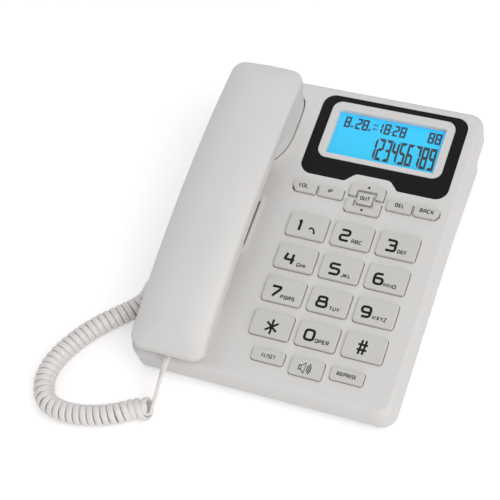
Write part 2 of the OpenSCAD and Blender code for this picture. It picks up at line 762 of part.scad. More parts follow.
module keypad_mat() {
    color([0.7, 0.7, 0.7]) on_panel() {
        difference() {
            block(board_x0 + 0.5, board_x1 - 0.5, board_y0 + 0.5, board_y1 - 0.5,
                mat_top - mat_t, mat_top);
            for (p = board_post_xy) rod(p[0], p[1], mat_top - mat_t - 1, mat_top + 1, boss_r);
        }
        for (name = key_names) let (at = stem_at(name))
            rod(at[0], at[1], mat_top - eps, mat_top + dome_h, 1.9);
    }
}

module base_speaker() {
    color(black) on_panel() translate([grille_x, grille_y, 0]) {
        rod(0, 0, skin_under - 3, skin_under, speaker_r);
        translate([0, 0, skin_under - 8]) cylinder(h = 5 + eps, r1 = speaker_r * 0.55, r2 = speaker_r - 1.5);
        rod(0, 0, skin_under - speaker_d, skin_under - 8 + eps, speaker_r * 0.5);
    }
}

// --- Jacks and plugs of the base ---
module line_jack() {
    y1 = bottom_y1 - wall;
    color(black) difference() {
        block(back_jack_x - back_jack_w / 2, back_jack_x + back_jack_w / 2, y1 - 15, y1,
            floor_z + floor_t, back_jack_z + back_jack_h / 2);
        block(back_jack_x - back_socket_w / 2, back_jack_x + back_socket_w / 2, y1 - 12.5, y1 + 1,
            back_jack_z - back_socket_h / 2, back_jack_z + back_socket_h / 2);
    }
}

module base_handset_jack() {
    x0 = side_wall_x + wall;
    color(black) difference() {
        block(x0, x0 + jack_l, side_jack_y - jack_w / 2, side_jack_y + jack_w / 2,
            floor_z + floor_t, side_jack_z + jack_h / 2);
        block(x0 - 1, x0 + jack_l - 2, side_jack_y - socket_w / 2, side_jack_y + socket_w / 2,
            side_jack_z - socket_h / 2, side_jack_z + socket_h / 2);
    }
}

module base_cord_plug() {
    color([0.9, 0.9, 0.9]) block(side_wall_x - plug_out, side_wall_x + wall + jack_l - 2.3,
        side_jack_y - plug_w / 2, side_jack_y + plug_w / 2,
        side_jack_z - plug_h / 2, side_jack_z + plug_h / 2);
}

// --- Handset ---
function hs_top(y) = hs_peak - pow(y - hs_peak_y, 2) / (2 * hs_arch_r);
function hs_part(y) = max(hs_top(y) - hs_crown - hs_rim_h, part_low);

// Right half of the outline at an inset, from the front's middle to the back's middle
corner_steps = 6;
side_steps = 18;
function hs_half(inset) =
    let (r = max(hs_corner_r - inset, 0.5), x = hs_w / 2 - inset - r, y = hs_l / 2 - inset - r,
        k = hs_l / 2 - hs_corner_r)
    concat(
        [[0, -y - r]],
        [for (i = [0:corner_steps]) let (a = -90 + 90 * i / corner_steps) [x + r * cos(a), -y + r * sin(a)]],
        [for (i = [1:side_steps - 1]) [x + r, -k + 2 * k * i / side_steps]],
        [for (i = [0:corner_steps]) let (a = 90 * i / corner_steps) [x + r * cos(a), y + r * sin(a)]],
        [[0, y + r]]);

// The whole closed outline: the right half, then its mirror image back to the front
function hs_ring(inset) =
    let (h = hs_half(inset), n = len(h))
    concat(h, [for (i = [n - 2:-1:1]) [-h[i][0], h[i][1]]]);

// How far the back lies below its spine, from the handset's middle
function fall(x, y) =
    let (side = pow(min(abs(x) / (hs_w / 2), 1), 2.4), e = max(0, abs(y) - hs_l / 2 + end_run) / end_run)
    hs_crown * (1 - (1 - side) * (1 - end_fall * e * e));
function back_z(x, y) = hs_top(hs_mid + y) - fall(x, y);
// A ring of the handset's back, as points in space; drop and lower set it below the crowned
// surface
function back_ring(inset, drop, lower) = [
    for (p = hs_ring(inset)) [hs_x + p[0], hs_mid + p[1], back_z(p[0], p[1]) - drop - lower]
];
// Rings nearer the middle shrink towards the handset's spine
function spine_y(y) = let (k = hs_l / 2 - hs_w / 2) max(-k, min(k, y));
function crown_ring(inset, share, lower) = [
    for (p = hs_ring(inset))
        let (x = p[0] * share, s = spine_y(p[1]), y = s + (p[1] - s) * share)
            [hs_x + x, hs_mid + y, back_z(x, y) - lower]
];

// The closed solid under the handset's back, down to a flat face: margin draws it in all round
module back_solid(margin, depth) {
    edge = max(hs_edge_r - margin, 0.6);
    fillet_steps = 4;
    rings = concat(
        [[for (p = hs_ring(margin)) [hs_x + p[0], hs_mid + p[1], -depth]]],
        [for (i = [0:fillet_steps]) let (a = 90 * i / fillet_steps)
            back_ring(margin + edge * (1 - cos(a)), edge * (1 - sin(a)), margin)],
        [for (share = [0.9, 0.78, 0.62, 0.44, 0.27, 0.1]) crown_ring(margin + edge, share, margin)]);
    n = len(rings[0]);
    last = len(rings) - 1;
    half = n / 2;
    polyhedron(
        points = [for (one = rings) each one],
        faces = concat(
            [[for (k = [0:n - 1]) k]],
            [for (i = [0:last - 1], k = [0:n - 1]) let (m = (k + 1) % n) each [
                [i * n + k, (i + 1) * n + k, (i + 1) * n + m],
                [i * n + k, (i + 1) * n + m, i * n + m]]],
            [for (k = [0:half - 1]) let (a = last * n + k, b = last * n + k + 1,
                    c = last * n + (n - k - 1) % n, d = last * n + (n - k) % n)
                each k == 0 ? [[a, c, b]] : k == half - 1 ? [[a, d, b]] : [[a, d, c], [a, c, b]]]));
}

module handset_outer_shell() {
    color(body_grey) on_panel() difference() {
        intersection() {
            back_solid(0, 4);
            from_joint(0, true);
        }
        difference() {
            back_solid(hs_wall, 6);
            for (p = hs_screw_xy) rod(p[0], p[1], 0, 60, 3.4);
        }
        for (p = hs_screw_xy) rod(p[0], p[1], 0, finger_gap + screw_l + 1, pilot_r);
    }
}

module ear_pod(inset) {
    hull() {
        pod_prism(pod_side - inset, ear_y0 + inset, ear_y1 - inset, 1, ear_z + inset, ear_z + inset + 0.5);
        pod_prism(pod_top_side - inset, ear_y0 - ear_slope + inset, hs_back - pod_end_in - inset, 1,
            taper_top, taper_top + 20);
    }
}

module mouth_pod(inset) {
    hull() {
        pod_prism(mouth_side - inset, mouth_y0 + inset, mouth_y1 - inset, -1,
            mouth_z + inset, mouth_z + inset + 0.5);
        pod_prism(mouth_top_side - inset, hs_front + mouth_end_in + inset,
            mouth_y1 + mouth_slope - inset, -1, mouth_taper_top, mouth_taper_top + 20);
    }
}

module inner_solid(inset) {
    ear_pod(inset);
    mouth_pod(inset);
    hs_slice(hs_tuck + inset, mouth_y1 - 6, ear_y0 + 6, finger_gap + inset, finger_gap + 30);
}

hs_screw_xy = [[hs_x, mouth_y1 + mouth_slope + 5], [hs_x, ear_y0 - ear_slope - 5]];
module handset_inner_shell() {
    color(body_grey) on_panel() difference() {
        union() {
            difference() {
                union() {
                    inner_solid(0);
                    intersection() {
                        hs_slice(0, hs_front, hs_back, 0, 60);
                        from_joint(flange_h, false);
                    }
                }
                inner_solid(hs_wall);
            }
            rod(hs_x, mouth_mid, mouth_z + hs_wall - eps, mouth_z + hs_wall + 4, mic_r + 1.4);
            for (p = hs_screw_xy) rod(p[0], p[1], finger_gap, 40, 3.4);
        }
        from_joint(0, true);
        rod(hs_x, mouth_mid, mouth_z + hs_wall, mouth_z + hs_wall + 5, mic_r + pocket_gap);
        rod(hs_x, ear_mid, ear_z - 1, ear_z + 0.8, 13);
        rod(hs_x, ear_mid, ear_z - 1, ear_z + hs_wall + 1, 1.1);
        for (a = [0:60:359])
            rod(hs_x + 6 * cos(a), ear_mid + 6 * sin(a), ear_z - 1, ear_z + hs_wall + 1, 1.1);
        for (s = [-1, 0, 1]) rod(hs_x + 4 * s, mouth_mid, mouth_z - 1, mouth_z + hs_wall + 1, 0.9);
        for (p = hs_screw_xy) {
            rod(p[0], p[1], finger_gap - 1, finger_gap + 1.6, head_r + 0.3);
            rod(p[0], p[1], finger_gap - 1, 40, shank_r + 0.3);
        }
        block(hs_x - socket_w / 2, hs_x + socket_w / 2, hs_front - 1, mouth_y0 + 1,
            hs_plug_z - socket_h / 2, hs_plug_z + socket_h / 2);
    }
}

screw_l = 15;                       // reach of the handset's screws from the grip's underside
mic_r = 4.9;
ear_r = 17.5;
module earpiece_capsule() {
    color(black) on_panel() {
        rod(hs_x, ear_mid, ear_z + hs_wall, ear_z + hs_wall + 3, ear_r);
        rod(hs_x, ear_mid, ear_z + hs_wall + 3 - eps, ear_z + hs_wall + 9, ear_r * 0.6);
    }
}

module microphone_capsule() {
    color("silver") on_panel() rod(hs_x, mouth_mid, mouth_z + hs_wall, mouth_z + hs_wall + 4.5, mic_r);
}

module handset_weight() {
    color("dimgray") on_panel() translate([hs_x, (hs_screw_xy[0][1] + hs_screw_xy[1][1]) / 2, 0])
        plate(22, 50, finger_gap + hs_wall, finger_gap + hs_wall + 9, 2);
}

module handset_screws() {
    color("silver") on_panel() for (p = hs_screw_xy) {
        rod(p[0], p[1], finger_gap - 0.2, finger_gap + 1.6, head_r);
        rod(p[0], p[1], finger_gap + 1.6 - eps, finger_gap + screw_l, shank_r);
    }
}

module handset_jack() {
    color(black) on_panel() difference() {
        block(hs_x - jack_w / 2, hs_x + jack_w / 2, hs_jack_y, hs_jack_y + hs_jack_l,
            hs_plug_z - jack_h / 2, hs_plug_z + jack_h / 2);
        block(hs_x - socket_w / 2, hs_x + socket_w / 2, hs_jack_y - 1, hs_jack_y + hs_jack_l - 2,
            hs_plug_z - socket_h / 2, hs_plug_z + socket_h / 2);
    }
}

module handset_cord_plug() {
    color([0.9, 0.9, 0.9]) on_panel() block(hs_x - plug_w / 2, hs_x + plug_w / 2, hs_plug_y,
        hs_jack_y + hs_jack_l - 2.3, hs_plug_z - plug_h / 2, hs_plug_z + plug_h / 2);
}

// --- Cord ---
module cord_lead() {
    color([0.84, 0.82, 0.82]) swept_tube(lead_route, cord_d / 2.4, 8);
}

module cord_coil() {
    color([0.84, 0.82, 0.82]) swept_tube(coil_route, coil_d / 2, 12);
}

module cord_tail() {
    color([0.84, 0.82, 0.82]) swept_tube(tail_route, cord_d / 2.4, 8);
}

base_top_housing();
base_bottom_housing();
display_fascia();
display_frame();
display_window();
lcd_panel();
display_board();
main_board();
keypad_mat();
base_speaker();
line_jack();
base_handset_jack();
rubber_feet();
base_screws();
board_screws();
hook_switch();
hook_plunger();
for (name = key_names)
    key(name);
handset_outer_shell();
handset_inner_shell();
earpiece_capsule();
microphone_capsule();
handset_weight();
handset_jack();
handset_screws();
handset_cord_plug();
base_cord_plug();
cord_lead();
cord_coil();
cord_tail();
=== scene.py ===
import json
import math
import bmesh
import bpy
from mathutils import Matrix, Vector


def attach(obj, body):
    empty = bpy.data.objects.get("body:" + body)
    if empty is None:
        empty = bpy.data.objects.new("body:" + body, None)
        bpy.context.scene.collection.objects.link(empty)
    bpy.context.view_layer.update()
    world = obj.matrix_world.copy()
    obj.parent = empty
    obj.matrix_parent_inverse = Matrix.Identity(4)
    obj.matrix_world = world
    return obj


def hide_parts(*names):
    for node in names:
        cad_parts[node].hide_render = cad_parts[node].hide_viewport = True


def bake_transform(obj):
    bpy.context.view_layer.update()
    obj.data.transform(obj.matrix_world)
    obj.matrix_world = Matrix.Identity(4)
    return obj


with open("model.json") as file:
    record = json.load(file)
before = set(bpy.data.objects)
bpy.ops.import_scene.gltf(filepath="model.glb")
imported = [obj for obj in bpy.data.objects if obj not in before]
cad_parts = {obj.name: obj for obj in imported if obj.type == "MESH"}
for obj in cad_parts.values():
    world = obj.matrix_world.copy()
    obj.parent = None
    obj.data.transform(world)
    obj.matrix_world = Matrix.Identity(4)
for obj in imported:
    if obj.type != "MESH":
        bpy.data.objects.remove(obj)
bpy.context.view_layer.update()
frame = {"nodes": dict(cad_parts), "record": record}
NODES = frame["nodes"]
SLOT_OF = {s["node"]: s["material_slot"] for s in frame["record"]["subparts"]}
BODY_OF = {n: b for b, nodes in frame["record"]["behaviour"]["bodies"].items() for n in nodes}

# ---------------------------------------------------------------- named sizes, in millimetres, as in the CAD
TILT = math.radians(8)
PANEL_Y, PANEL_Z = -0.080, 37.456
AXIS_X, ROW_1_Y, SMALL_Y = 27.3, 1.6, 27.9
COL_PITCH, ROW_PITCH = 29.0, 22.9
KEY_W, KEY_L, KEY_RISE, KEY_FOOT = 25.0, 16.5, 2.2, -3.6
SMALL_W, SMALL_L, SMALL_IN, SMALL_GAP = 15.8, 7.2, 14.2, 1.5
ARROW_W, ARROW_L, ARROW_HOLE_W, ARROW_HOLE_L, ARROW_SPLIT = 22.4, 20.2, 12.8, 11.8, 2.6
OUT_W, OUT_L = 9.6, 7.3
LOW_Y = ROW_1_Y - 3 * ROW_PITCH - 21.2
LOW_W, LOW_L, LOW_STEP, LOW_RISE = 20.0, 8.2, 24.6, 1.4
TALK_W, TALK_L = 20.2, 11.2
KEY_CORNER, SMALL_CORNER, OUT_CORNER, LOW_CORNER = 2.0, 1.2, 1.0, 1.6
LCD_Z = -3.1
CORD_W, CORD_T, COIL_D, COIL_PITCH = 4.0, 2.1, 13.4, 4.2

PANEL = Matrix.Translation((0, PANEL_Y, PANEL_Z)) @ Matrix.Rotation(TILT, 4, "X")


def panel(x, y, z):
    """A point given in the panel's own frame, in millimetres, as a point of the row frame in metres."""
    return (PANEL @ Vector((x, y, z))) * 0.001


# ---------------------------------------------------------------- camera
CAM_AT = Vector((223.46, -444.98, 709.06)) * 0.001
CAM_RIGHT = Vector((0.92775, 0.34896, -0.13232))
CAM_DOWN = Vector((0.21463, -0.78894, -0.57577))
CAM_AHEAD = Vector((-0.30531, 0.50577, -0.80683))
SENSOR_MM, FOCAL_PX, FRAME_PX = 36, 1354, 500
cam_data = bpy.data.cameras.new("photo_camera")
cam_data.sensor_width = SENSOR_MM
cam_data.lens = SENSOR_MM * FOCAL_PX / FRAME_PX
cam_data.clip_start = 0.05
cam = bpy.data.objects.new("photo_camera", cam_data)
bpy.context.scene.collection.objects.link(cam)
turn = Matrix((CAM_RIGHT, -CAM_DOWN, -CAM_AHEAD)).transposed()
cam.matrix_world = Matrix.Translation(CAM_AT) @ turn.to_4x4()
bpy.context.scene.camera = cam


# ---------------------------------------------------------------- materials
def linear(rgb):
    """An 8 bit colour as linear values."""
    return tuple((c / 255 / 12.92) if c / 255 <= 0.04045 else ((c / 255 + 0.055) / 1.055) ** 2.4 for c in rgb)


PATCH_ENDS = 0.3, 0.7
PATCH_DETAIL, GRAIN_DETAIL = 3, 4
GRAIN_DEPTH = 0.00004
LEAST_ROUGH, COAT_ROUGH = 0.02, 0.08


def material(name, rgb, rough, spread=0.03, grain=0.0, grain_scale=2400.0, patch_scale=22.0, metal=0.0,
             coat=0.0, specular=0.5, glow=0.0, alpha=1.0, rough_spread=0.06):
    """A moulded or metal surface: slow colour patches, uneven gloss and a fine moulded grain."""
    mat = bpy.data.materials.new(name)
    mat.use_nodes = True
    tree = mat.node_tree
    bsdf = tree.nodes["Principled BSDF"]
    where = tree.nodes.new("ShaderNodeTexCoord")
    base = linear(rgb)

    def noise(scale, detail):
        node = tree.nodes.new("ShaderNodeTexNoise")
        node.inputs["Scale"].default_value = scale
        node.inputs["Detail"].default_value = detail
        tree.links.new(where.outputs["Object"], node.inputs["Vector"])
        return node.outputs["Fac"]

    patches = noise(patch_scale, PATCH_DETAIL)
    ramp = tree.nodes.new("ShaderNodeValToRGB")
    for end, place, change in zip(ramp.color_ramp.elements, PATCH_ENDS, (-spread, spread)):
        end.position = place
        end.color = (*[min(1, c * (1 + change)) for c in base], 1)
    tree.links.new(patches, ramp.inputs["Fac"])
    tree.links.new(ramp.outputs["Color"], bsdf.inputs["Base Color"])
    gloss = tree.nodes.new("ShaderNodeMapRange")
    gloss.inputs["To Min"].default_value = max(LEAST_ROUGH, rough - rough_spread)
    gloss.inputs["To Max"].default_value = min(1, rough + rough_spread)
    tree.links.new(patches, gloss.inputs["Value"])
    tree.links.new(gloss.outputs["Result"], bsdf.inputs["Roughness"])
    bsdf.inputs["Metallic"].default_value = metal
    bsdf.inputs["Specular IOR Level"].default_value = specular
    bsdf.inputs["Coat Weight"].default_value = coat
    bsdf.inputs["Coat Roughness"].default_value = COAT_ROUGH
    bsdf.inputs["Alpha"].default_value = alpha
    if glow:
        bsdf.inputs["Emission Color"].default_value = (*base, 1)
        bsdf.inputs["Emission Strength"].default_value = glow
    if grain:
        bump = tree.nodes.new("ShaderNodeBump")
        bump.inputs["Strength"].default_value = grain
        bump.inputs["Distance"].default_value = GRAIN_DEPTH
        tree.links.new(noise(grain_scale, GRAIN_DETAIL), bump.inputs["Height"])
        tree.links.new(bump.outputs["Normal"], bsdf.inputs["Normal"])
    return mat


FINISHES = {
    "housing_plastic": ((220, 219, 218), 0.42, dict(spread=0.012, grain=0.25)),
    "key_plastic": ((206, 205, 200), 0.4, dict(spread=0.015, grain=0.2)),
    "frame_plastic": ((218, 217, 216), 0.4, dict(spread=0.012, grain=0.2)),
    "fascia_black": ((20, 16, 17), 0.36, dict(spread=0.05, specular=0.1, grain=0.05)),
    "window_clear": ((235, 245, 250), 0.06, dict(alpha=0.06, specular=0.4, rough_spread=0.01)),
    "lcd_blue": ((14, 200, 243), 0.35, dict(spread=0.02, glow=0.3, specular=0.25, patch_scale=9)),
    "board_green": ((30, 92, 52), 0.35, dict(spread=0.12, grain=0.3, grain_scale=900)),
    "mat_rubber": ((150, 150, 150), 0.7, dict(grain=0.3)),
    "speaker_metal": ((150, 150, 152), 0.4, dict(metal=0.9, grain=0.2)),
    "jack_black": ((42, 42, 44), 0.45, dict(grain=0.3)),
    "foot_rubber": ((40, 40, 41), 0.8, dict(spread=0.08, grain=0.6, grain_scale=1400)),
    "screw_steel": ((176, 176, 178), 0.3, dict(metal=1.0, spread=0.06, grain=0.15)),
    "capsule_black": ((38, 38, 40), 0.5, dict(grain=0.3)),
    "capsule_metal": ((196, 196, 198), 0.3, dict(metal=1.0, grain=0.15)),
    "weight_iron": ((90, 88, 86), 0.6, dict(metal=0.8, spread=0.15, grain=0.8, grain_scale=700)),
    "plug_clear": ((226, 226, 226), 0.18, dict(coat=0.4, alpha=0.62, specular=0.5)),
    "cord_jacket": ((231, 227, 226), 0.22, dict(spread=0.02, grain=0.2, grain_scale=1500)),
    "ink": ((13, 12, 14), 0.6, dict(spread=0.08, specular=0.2)),
    "lcd_ink": ((8, 12, 20), 0.5, dict(spread=0.06, specular=0.2)),
    "contact_gold": ((214, 170, 84), 0.25, dict(metal=1.0, spread=0.05)),
}
MATS = {name: material(name, rgb, rough, **rest) for name, (rgb, rough, rest) in FINISHES.items()}


def shade(ob, angle, weighted):
    """Smooth faces with sharp edges from an angle in degrees on, with weighted normals where asked."""
    ob.data.polygons.foreach_set("use_smooth", [True] * len(ob.data.polygons))
    ob.data.set_sharp_from_angle(angle=math.radians(angle))
    if weighted:
        mod = ob.modifiers.new("normals", "WEIGHTED_NORMAL")
        mod.keep_sharp = True


def mesh_object(name, verts, faces, mat, body=None, smooth=0.0, weighted=True):
    """A mesh in metres with one material, on a body if one is named; smooth is an angle, or 0 for flat."""
    me = bpy.data.meshes.new(name)
    me.from_pydata([tuple(v) for v in verts], [], faces)
    me.validate()
    ob = bpy.data.objects.new(name, me)
    bpy.context.scene.collection.objects.link(ob)
    me.materials.append(MATS[mat])
    if smooth:
        shade(ob, smooth, weighted)
    if body:
        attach(ob, body)
    return ob


# ---------------------------------------------------------------- the curly cord
# points in millimetres, as in the CAD: the lead from the handset, the coil's axis and the tail to the base
LEAD = [
    (-54.6, -102.9, 28.5), (-54.7, -107.4, 27.6), (-55.1, -110.2, 25.9), (-55.6, -112.8, 23.8),
    (-56.1, -115.2, 21.5), (-57, -119.6, 16.9), (-57.6, -123.8, 12.6), (-58.3, -127.6, 9.6),
    (-58.9, -130.8, 7.2), (-59.6, -133.1, 5.7), (-60.7, -134.8, 5.8), (-61.8, -135.2, 7.5)]
COIL = [
    (-61, -129.6, 7.4), (-66.6, -132.3, 7), (-70.6, -134.2, 6.8), (-79.2, -139.4, 6.8), (-90.6, -144, 6.8),
    (-102.8, -146.7, 6.8), (-113, -146.8, 6.8), (-122.4, -144, 6.8), (-128.6, -137, 6.8),
    (-131.6, -127.6, 6.8), (-131.2, -117.2, 6.8), (-128, -107.2, 6.8), (-122.6, -96.6, 6.8),
    (-116.4, -87.2, 6.8), (-109.4, -79, 6.8), (-102.2, -71.6, 6.8), (-96.6, -65.6, 6.8),
    (-92.8, -59.8, 6.8), (-91.4, -53.6, 6.8), (-91.3, -49, 6.8)]
# the axis of the first turn, that ring's move to the side, and the inner strand's move into the coil
FIRST_TURN = Vector((-0.9, -0.3, -0.32)).normalized()
RING_SHIFT = Vector((2.4, -0.6, 0.1))
INNER_SHIFT = Vector((-2.6, -1, -1.2))
# the direction of the wire's width along the lead and in the tail
EDGE_ON, ALONG_X, TAIL_WIDTH = Vector((0.2, -0.6, 0.75)), Vector((1, 0, 0)), Vector((0, -1, 0))
TAIL = [
    (-91.3, -49, 1.5), (-94.2, -48.2, 1.6), (-96, -45.4, 2.3), (-96, -41.8, 3.8), (-95, -38, 5.6),
    (-93.4, -34.4, 7.2), (-90.4, -31.2, 8), (-87.2, -30.1, 8.2), (-84.5, -30, 8.2)]


# straight pieces in each span of a curve, and the part of a step below which the last point is moved instead
SPAN_PIECES, LEAST_STEP = 12, 0.3


def smooth_path(points, step):
    """Points a step apart on a smooth curve through the given ones."""
    pts = [Vector(p) for p in points]
    dense = []
    for i in range(len(pts) - 1):
        a, b = pts[max(i - 1, 0)], pts[i]
        c, d = pts[i + 1], pts[min(i + 2, len(pts) - 1)]
        for k in range(SPAN_PIECES):
            t = k / SPAN_PIECES
            dense.append(0.5 * ((2 * b) + (c - a) * t + (2 * a - 5 * b + 4 * c - d) * t * t
                                + (3 * b - a - 3 * c + d) * t ** 3))
    dense.append(pts[-1])
    out, left = [dense[0]], step
    for p, q in zip(dense, dense[1:]):
        seg = (q - p).length
        at = 0.0
        while seg - at >= left:
            at += left
            out.append(p.lerp(q, at / seg))
            left = step
        left -= seg - at
    if (out[-1] - dense[-1]).length > step * LEAST_STEP:
        out.append(dense[-1])
    else:
        out[-1] = dense[-1]
    return out


def bands(rings, sides):
    """The faces between closed rings of points, one after the other, with a face over each end."""
    faces = []
    for i in range(rings - 1):
        for k in range(sides):
            m = (k + 1) % sides
            faces.append((i * sides + k, i * sides + m, (i + 1) * sides + m, (i + 1) * sides + k))
    faces.append(tuple(range(sides - 1, -1, -1)))
    faces.append(tuple((rings - 1) * sides + k for k in range(sides)))
    return faces


def rise(x, start, span):
    """0 up to start, 1 from start + span on, and smooth between them."""
    t = max(0.0, min(1.0, (x - start) / span))
    return t * t * (3 - 2 * t)


# points in a turn, the first one's angle in degrees, and the points cut off at the start
PER_TURN, COIL_START, LEFT_OUT = 26, -140, 6
# points along the coil's axis and along the lead and the tail, and how far the axis's direction is taken from
AXIS_STEP, WIRE_STEP, AXIS_SPAN = 0.04, 1.2, 12
# where the lead meets the coil: points on each side that are smoothed, and how often
JOINT_REACH, JOINT_PASSES = 5, 4
# how nearly the coil's last strand points along the tail
COIL_END = 0.985
# the first turn's radius as parts of the coil's: at its start, what it gains, and what it loses again
FIRST_SIZE, FIRST_GAIN, FIRST_LOSS = 0.82, 0.3, 0.14


def build_cord():
    """The wire's line from the handset's plug to the base's plug, and its width's direction at each point."""
    tight = COIL_D / 2 - CORD_T / 2
    axis_line = smooth_path(COIL, AXIS_STEP)
    last = len(axis_line) - 1
    first_angle = a = math.radians(COIL_START)
    at, helix, ways = 0.0, [], []

    def strand(middle):
        helix.append(middle + radius * (math.cos(a) * side + math.sin(a) * side.cross(axis)))
        ways.append(-axis)

    while at < last * AXIS_STEP:
        i = min(last, int(at / AXIS_STEP))
        axis = (axis_line[min(i + AXIS_SPAN, last)] - axis_line[max(i - AXIS_SPAN, 0)]).normalized()
        turn = (first_angle - a) / (2 * math.pi)  # turns wound so far, which the numbers below are in
        axis = FIRST_TURN.lerp(axis, rise(turn, 0.35, 1.25)).normalized()
        radius = tight * (FIRST_SIZE + FIRST_GAIN * rise(turn, 0, 0.5) - FIRST_LOSS * rise(turn, 0.8, 0.7))
        side = axis.cross(Vector((0, 0, 1))).normalized()
        aside = RING_SHIFT * rise(turn, 0, 0.6) * (1 - rise(turn, 0.75, 0.55))
        aside = aside + INNER_SHIFT * (1 - rise(turn, 0, 0.55))
        strand(axis_line[i] + aside)
        at += COIL_PITCH / PER_TURN
        a -= 2 * math.pi / PER_TURN
    while math.cos(a + math.pi / 2) < COIL_END:
        strand(axis_line[-1])
        a -= 2 * math.pi / PER_TURN
    helix, ways = helix[LEFT_OUT:], ways[LEFT_OUT:]
    lead = smooth_path(LEAD + [tuple(helix[0])], WIRE_STEP)
    line, wide = [], []
    for i, p in enumerate(lead[:-1]):
        line.append(p)
        edge_on = ALONG_X.lerp(EDGE_ON, rise(i / len(lead), 0.08, 0.35))
        wide.append(edge_on.lerp(ways[0], rise(i / len(lead), 0.6, 0.4)))
    joint = len(line)
    line += helix
    wide += ways
    for _ in range(JOINT_PASSES):
        for i in range(joint - JOINT_REACH, joint + JOINT_REACH):
            line[i] = (line[i - 1] + 2 * line[i] + line[i + 1]) / 4
            wide[i] = (wide[i - 1] + 2 * wide[i] + wide[i + 1]) / 4
    tail = smooth_path(TAIL, WIRE_STEP)
    for i, p in enumerate(tail[1:]):
        line.append(p)
        wide.append(ways[-1].lerp(TAIL_WIDTH, rise(i / len(tail), 0, 0.5)))
    return line, wide


# the wire's section is an oval, and a power below 1 makes it squarer
WIRE_SIDES, WIRE_POWER_W, WIRE_POWER_T = 14, 0.85, 0.8


def cord_mesh():
    """The cord as one closed mesh, and the line that it follows, in metres."""
    line, wide = build_cord()
    verts = []
    n = len(line)
    for i, p in enumerate(line):
        along = (line[min(i + 1, n - 1)] - line[max(i - 1, 0)]).normalized()
        across = wide[i] - wide[i].dot(along) * along
        across.normalize()
        up = along.cross(across)
        for k in range(WIRE_SIDES):
            a = 2 * math.pi * k / WIRE_SIDES
            c, s = math.cos(a), math.sin(a)
            x = CORD_W / 2 * math.copysign(abs(c) ** WIRE_POWER_W, c)
            y = CORD_T / 2 * math.copysign(abs(s) ** WIRE_POWER_T, s)
            verts.append((p + x * across + y * up) * 0.001)
    faces = bands(n, WIRE_SIDES)
    ob = mesh_object("curly_cord", verts, faces, "cord_jacket", smooth=60, weighted=False)
    return ob, [p * 0.001 for p in line]


cord, cord_path = cord_mesh()
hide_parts("cord_lead", "cord_coil", "cord_tail")
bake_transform(cord)


# ---------------------------------------------------------------- CAD nodes that keep their shape
# points this close are one, and faces that meet this flat are merged; from CREASE on an edge is sharp
SAME_POINT, SAME_FLAT = 3e-6, math.radians(0.5)
CREASE = math.radians(38)


def cleaned(name):
    """A copy of a CAD node's mesh with its double points joined and its flat faces merged."""
    me = NODES[name].data.copy()
    bm = bmesh.new()
    bm.from_mesh(me)
    bmesh.ops.remove_doubles(bm, verts=bm.verts, dist=SAME_POINT)
    bmesh.ops.dissolve_limit(bm, angle_limit=SAME_FLAT, verts=bm.verts, edges=bm.edges)
    bm.to_mesh(me)
    bm.free()
    return me


def dress(name, bevel=0.0, segments=2):
    """The CAD node's own shape with its edges broken and its curved faces shaded smooth."""
    me = cleaned(name)
    ob = bpy.data.objects.new(name + "_skin", me)
    bpy.context.scene.collection.objects.link(ob)
    me.materials.clear()
    me.materials.append(MATS[SLOT_OF[name]])
    me.polygons.foreach_set("material_index", [0] * len(me.polygons))
    me.polygons.foreach_set("use_smooth", [True] * len(me.polygons))
    me.set_sharp_from_angle(angle=CREASE)
    if bevel:
        mod = ob.modifiers.new("edges", "BEVEL")
        mod.width = bevel * 0.001
        mod.segments = segments
        mod.limit_method = "ANGLE"
        mod.angle_limit = CREASE
        mod.harden_normals = False
        mod.miter_outer = "MITER_ARC"
    mod = ob.modifiers.new("normals", "WEIGHTED_NORMAL")
    mod.keep_sharp = not bevel
    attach(ob, BODY_OF[name])
    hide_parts(name)


for node_name, node in NODES.items():
    node.data.materials.clear()
    node.data.materials.append(MATS[SLOT_OF[node_name]])

dress("base_top_housing", bevel=0.25)
dress("base_bottom_housing", bevel=0.3)
dress("handset_outer_shell")
dress("handset_inner_shell", bevel=0.25)
dress("display_fascia", bevel=0.2)
dress("display_frame", bevel=0.2)
dress("rubber_feet", bevel=0.5, segments=3)
dress("hook_plunger", bevel=0.3)


# ---------------------------------------------------------------- keys
CORNER_STEPS, FILLET_STEPS, EDGE_STEPS = 6, 5, 4
NO_LENGTH = 1e-6
# an outline is drawn in at a sharp corner as if its cosine were at least this
LEAST_COSINE, LEAST_RIBBON_COSINE = 0.5, 0.6
# the height of a key's broken edge, and how far inside it the flat top starts
EDGE_DROP, TOP_INSET = 0.55, 0.35
SMALL_EDGE, OUT_EDGE = 0.6, 0.55


def rounded(w, l, r, x, y):
    """A rectangle's outline with rounded corners, counter-clockwise."""
    pts = []
    for cx, cy, a0 in ((w / 2 - r, -l / 2 + r, -90), (w / 2 - r, l / 2 - r, 0),
                       (-w / 2 + r, l / 2 - r, 90), (-w / 2 + r, -l / 2 + r, 180)):
        for i in range(CORNER_STEPS + 1):
            a = math.radians(a0 + 90 * i / CORNER_STEPS)
            pts.append((x + cx + r * math.cos(a), y + cy + r * math.sin(a)))
    return pts


def filleted(corners, radii):
    """A closed outline, counter-clockwise, with each corner rounded."""
    out = []
    n = len(corners)
    for i, (p, r) in enumerate(zip(corners, radii)):
        p = Vector(p)
        a = (Vector(corners[i - 1]) - p).normalized()
        b = (Vector(corners[(i + 1) % n]) - p).normalized()
        half = a.angle(b) / 2
        cut = r / math.tan(half)
        centre = p + (a + b).normalized() * (r / math.sin(half))
        s, e = p + a * cut - centre, p + b * cut - centre
        sweep = s.angle_signed(e)
        for k in range(FILLET_STEPS + 1):
            t = -sweep * k / FILLET_STEPS
            out.append(tuple(centre + Matrix.Rotation(t, 2) @ s))
    return out


